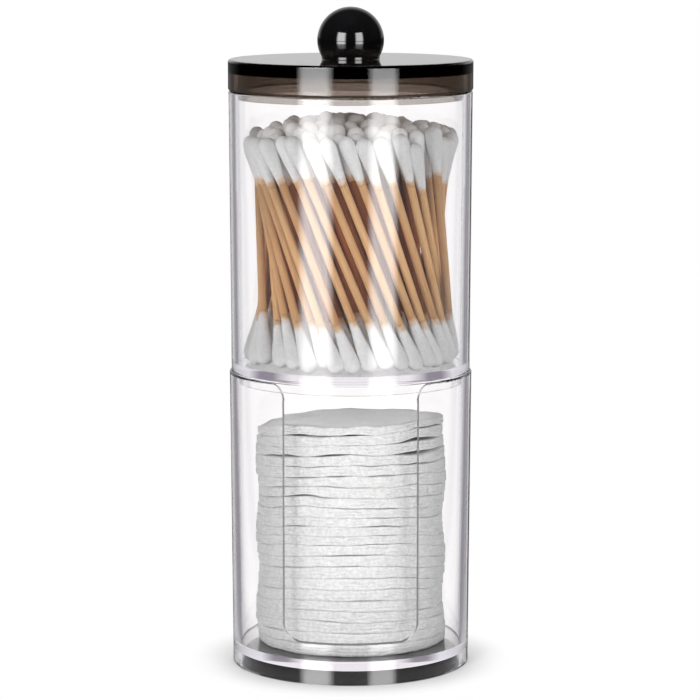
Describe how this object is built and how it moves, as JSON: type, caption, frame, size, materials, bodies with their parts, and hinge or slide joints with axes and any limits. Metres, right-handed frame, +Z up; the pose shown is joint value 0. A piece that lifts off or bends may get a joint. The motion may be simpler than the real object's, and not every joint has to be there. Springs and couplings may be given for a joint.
{
  "type": "cotton swab storage box",
  "caption": "Round two-tier clear box: an upper jar of cotton swabs under a smoke lid with a ball knob, and a lower dispenser of cotton pads with a front window.",
  "frame": {"origin": "centre of the foot, on the surface the box stands on", "axes": "+Z up along the box's axis, -Y out of the pad window, +X to the right seen from the front"},
  "size_m": [0.0762, 0.0762, 0.2064],
  "materials": {
    "clear_plastic": "clear, polished",
    "smoke_plastic": "smoke tinted, polished",
    "black_plastic": "opaque black, polished",
    "cotton": "pressed and wound white cotton",
    "bamboo": "bare bamboo"
  },
  "bodies": {
    "dispenser": {"lower_box": "clear_plastic", "cotton_pad_01": "cotton", "cotton_pad_02": "cotton", "cotton_pad_03": "cotton", "cotton_pad_04": "cotton", "cotton_pad_05": "cotton", "cotton_pad_06": "cotton", "cotton_pad_07": "cotton", "cotton_pad_08": "cotton", "cotton_pad_09": "cotton", "cotton_pad_10": "cotton", "cotton_pad_11": "cotton", "cotton_pad_12": "cotton", "cotton_pad_13": "cotton", "cotton_pad_14": "cotton", "cotton_pad_15": "cotton", "cotton_pad_16": "cotton", "cotton_pad_17": "cotton", "cotton_pad_18": "cotton", "cotton_pad_19": "cotton", "cotton_pad_20": "cotton", "cotton_pad_21": "cotton", "cotton_pad_22": "cotton"},
    "jar": {"upper_jar": "clear_plastic", "swab_sticks_ring_1": "bamboo", "swab_buds_ring_1": "cotton", "swab_sticks_ring_2": "bamboo", "swab_buds_ring_2": "cotton", "swab_sticks_ring_3": "bamboo", "swab_buds_ring_3": "cotton", "swab_sticks_ring_4": "bamboo", "swab_buds_ring_4": "cotton", "swab_sticks_ring_5": "bamboo", "swab_buds_ring_5": "cotton", "swab_sticks_ring_6": "bamboo", "swab_buds_ring_6": "cotton"},
    "lid": {"lid": "smoke_plastic", "knob": "black_plastic"}
  },
  "joints": [
    {"name": "jar_lift", "type": "slide", "parent": "dispenser", "child": "jar", "axis": [0, 0, 1], "range_m": [0, 0.04]},
    {"name": "lid_lift", "type": "slide", "parent": "jar", "child": "lid", "axis": [0, 0, 1], "range_m": [0, 0.04]}
  ]
}
